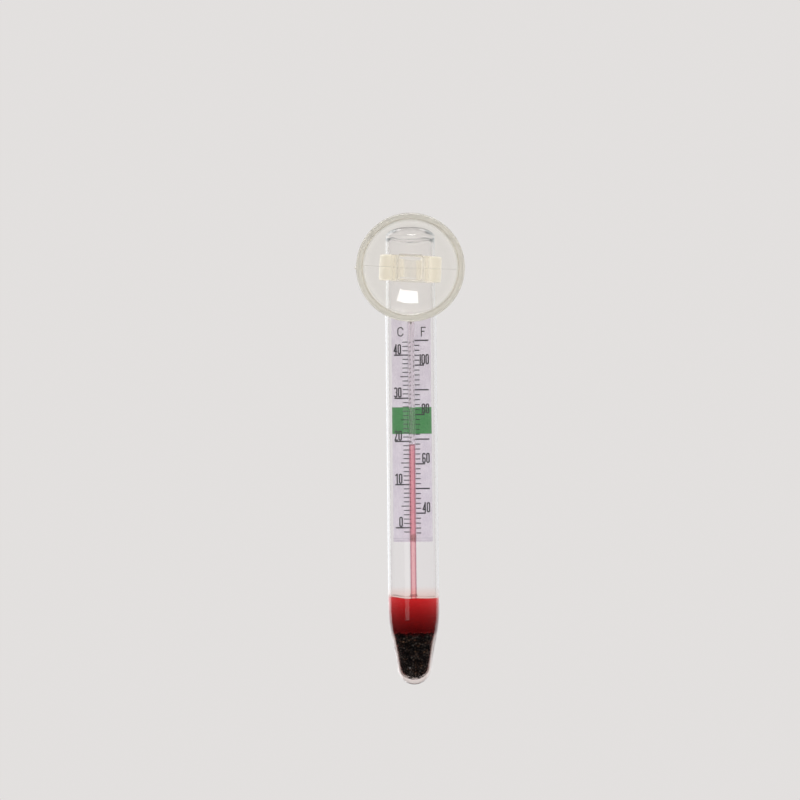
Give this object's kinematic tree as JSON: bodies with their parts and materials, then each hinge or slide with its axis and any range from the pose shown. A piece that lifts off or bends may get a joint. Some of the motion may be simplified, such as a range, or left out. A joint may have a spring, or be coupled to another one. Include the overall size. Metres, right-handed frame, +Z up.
{
  "type": "floating glass thermometer",
  "caption": "Sealed glass tube thermometer with a red spirit capillary, printed scale card and shot ballast, held by a clear suction cup with a ring.",
  "frame": {"origin": "centre of the suction cup's flat sealing land, on the plane that meets the tank's glass", "axes": "+Z up along the thermometer tube, towards its sealed top; the cup opens towards -Y and the tube's axis is 16 mm behind it at +Y; +X to the right as the scale is read"},
  "size_m": [0.0253, 0.0235, 0.1088],
  "materials": {
    "soft_pvc": "clear, slightly creamy, glossy soft moulding",
    "tube_glass": "clear, fire polished",
    "stem_glass": "clear, drawn",
    "red_spirit": "dyed spirit, clear red",
    "black_shot": "smooth, oxidised",
    "scale_paper": "matt printed card",
    "clear_adhesive": "clear set adhesive",
    "green_ink": "matt printing ink",
    "black_ink": "matt printing ink"
  },
  "bodies": {
    "holder": {"suction_cup": "soft_pvc"},
    "thermometer": {"outer_tube": "tube_glass", "capillary_stem": "stem_glass", "spirit_reservoir": "red_spirit", "ballast_shot": "black_shot", "scale_card": "scale_paper", "card_adhesive": "clear_adhesive", "comfort_band": "green_ink", "celsius_graduations": "black_ink", "celsius_numerals": "black_ink", "fahrenheit_graduations": "black_ink", "fahrenheit_numerals": "black_ink"},
    "spirit_top": {"spirit_thread": "red_spirit"}
  },
  "joints": [
    {"name": "tube_slide", "type": "slide", "parent": "holder", "child": "thermometer", "axis": [0, 0, 1], "range_m": [-0.004, 0.075]},
    {"name": "spirit_rise", "type": "slide", "parent": "thermometer", "child": "spirit_top", "axis": [0, 0, 1], "range_m": [-0.0203, 0.0247], "deforming": ["spirit_thread"]}
  ]
}
